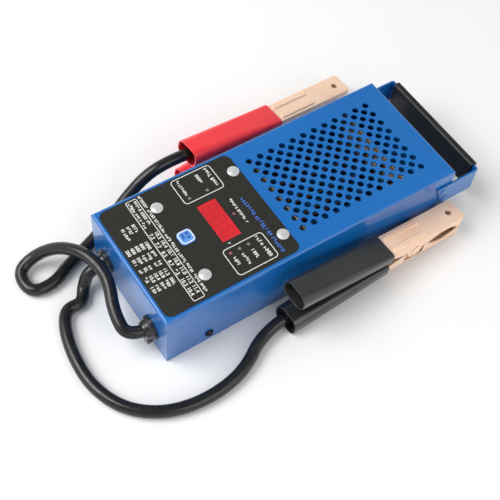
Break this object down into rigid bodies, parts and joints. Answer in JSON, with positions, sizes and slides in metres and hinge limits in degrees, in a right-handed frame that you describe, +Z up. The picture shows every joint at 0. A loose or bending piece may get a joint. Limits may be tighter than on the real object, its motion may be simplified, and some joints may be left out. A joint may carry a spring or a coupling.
{
  "type": "battery load tester",
  "caption": "Hand-held battery load tester: sheet-steel case with display panel, perforated grille, strap handle and two spring clamp leads.",
  "frame": {"origin": "centre of the case's base, on its underside", "axes": "+X from the cable end to the handle end, +Y to the red clamp's side, +Z up"},
  "size_m": [0.3452, 0.1948, 0.0556],
  "materials": {
    "case_paint": "glossy blue enamel",
    "black_oxide": "black screw heads",
    "grip_black": "black moulded sleeve",
    "label": "dark printed label",
    "display_red": "red display filter",
    "digit_plastic": "black moulding",
    "lamp_amber": "amber lamp",
    "lamp_red": "red lamp",
    "lamp_green": "green lamp",
    "board_green": "solder mask",
    "zinc_steel": "zinc-plated steel",
    "nickel_steel": "pale domed screw heads",
    "button_blue": "blue button cap",
    "relay_black": "black phenolic",
    "strap_brass": "brass strap",
    "element_alloy": "heat-darkened resistance ribbon",
    "steatite": "fired steatite",
    "bracket_gold": "yellow-passivated steel",
    "gland_black": "black bushing",
    "lead_black": "black cable sheath",
    "lug_copper": "tinned copper lug",
    "jaw_copper": "copper-plated steel",
    "sleeve_red": "soft red vinyl sleeve",
    "sleeve_black": "soft black vinyl sleeve",
    "spring_steel": "spring wire"
  },
  "bodies": {
    "case": {"base_plate": "case_paint", "black_crimp": "lug_copper", "black_gland": "gland_black", "black_lead": "lead_black", "black_lead_inner": "lead_black", "black_lead_lug": "lug_copper", "black_lead_tail": "lead_black", "black_lower_grip": "sleeve_black", "black_lower_jaw": "jaw_copper", "black_pivot_pin": "jaw_copper", "black_spring": "spring_steel", "board_nuts": "zinc_steel", "board_spacers": "zinc_steel", "button_switch": "digit_plastic", "circuit_board": "board_green", "cover_screws": "black_oxide", "digit_module_1": "digit_plastic", "digit_module_2": "digit_plastic", "digit_module_3": "digit_plastic", "display_window": "display_red", "element_bracket_front": "bracket_gold", "element_bracket_rear": "bracket_gold", "handle_bracket": "case_paint", "handle_grip": "grip_black", "handle_rivets": "case_paint", "insulator_front": "steatite", "insulator_rear": "steatite", "led_bad": "lamp_red", "led_charging": "lamp_amber", "led_good": "lamp_green", "led_load": "lamp_amber", "led_reverse": "lamp_red", "led_weak": "lamp_amber", "load_element": "element_alloy", "load_link": "strap_brass", "load_relay": "relay_black", "panel_label": "label", "panel_screws": "nickel_steel", "red_gland": "gland_black", "red_lead": "lead_black", "red_lead_end": "lead_black", "red_lead_inner": "lead_black", "red_lead_lug": "lug_copper", "red_lower_grip": "sleeve_red", "red_lower_jaw": "jaw_copper", "red_pivot_pin": "jaw_copper", "red_spring": "spring_steel", "return_block": "relay_black", "return_strap": "strap_brass", "stud_nuts": "zinc_steel", "terminal_studs": "zinc_steel", "top_cover": "case_paint"},
    "button": {"test_button": "button_blue", "switch_plunger": "digit_plastic"},
    "red_clamp_upper": {"red_upper_jaw": "jaw_copper", "red_upper_grip": "sleeve_red", "red_crimp": "lug_copper", "red_lead_tail": "lead_black"},
    "black_clamp_upper": {"black_upper_jaw": "jaw_copper", "black_upper_grip": "sleeve_black"}
  },
  "joints": [
    {"name": "test_button_press", "type": "slide", "parent": "case", "child": "button", "axis": [0, 0, -1], "range_m": [0, 0.001], "stiffness_N_per_m": 1800, "springref_m": -0.0003},
    {"name": "red_clamp_hinge", "type": "hinge", "parent": "case", "child": "red_clamp_upper", "pos_m": [0.0783, 0.0831, 0.0158], "axis": [0.0802, -0.9968, 0], "range_deg": [0, 7.5], "stiffness_Nm_per_rad": 10, "springref_deg": -8.59, "deforming": ["red_lead_end", "red_spring"]},
    {"name": "black_clamp_hinge", "type": "hinge", "parent": "case", "child": "black_clamp_upper", "pos_m": [0.0772, -0.0674, 0.0158], "axis": [0.0436, -0.999, 0], "range_deg": [0, 7.5], "stiffness_Nm_per_rad": 10, "springref_deg": -8.59, "deforming": ["black_spring"]}
  ]
}
